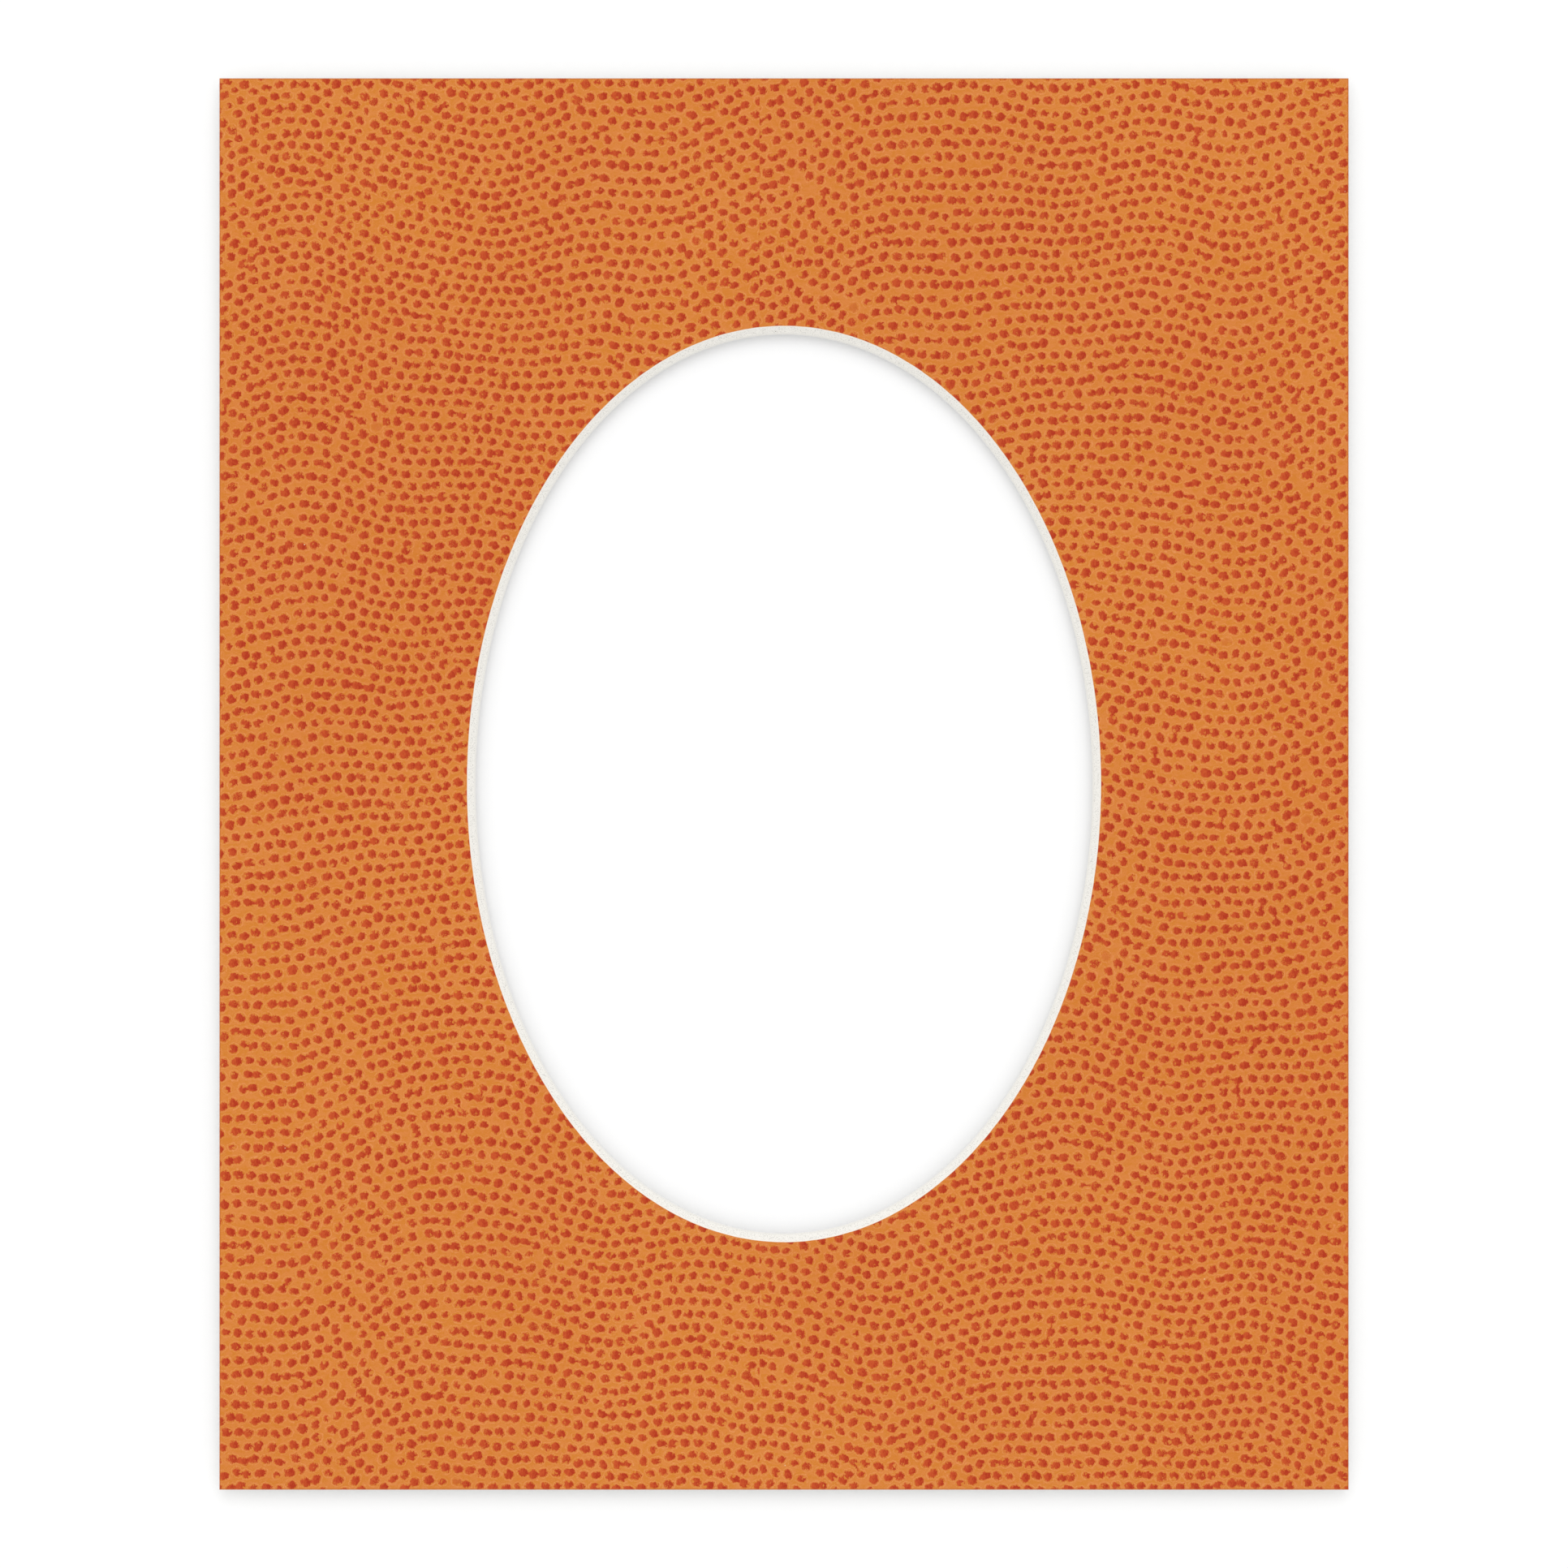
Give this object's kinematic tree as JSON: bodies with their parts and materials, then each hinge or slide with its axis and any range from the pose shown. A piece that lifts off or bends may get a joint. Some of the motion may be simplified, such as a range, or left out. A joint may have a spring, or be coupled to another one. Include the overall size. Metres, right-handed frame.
{
  "type": "picture mount",
  "caption": "Rectangular board mount with a bevel-cut oval window and a pebbled orange face paper, which frames a print behind the glass of a picture frame.",
  "frame": {"origin": "centre of the back face, under the middle of the oval window", "axes": "+Z out of the coloured face, +Y up the board's long side as it hangs, +X to the right as seen from the front"},
  "size_m": [0.2032, 0.254, 0.0016],
  "materials": {
    "core_board": "matte",
    "face_paper": "satin"
  },
  "bodies": {
    "root": {"core_board": "core_board", "face_paper": "face_paper"}
  },
  "joints": []
}
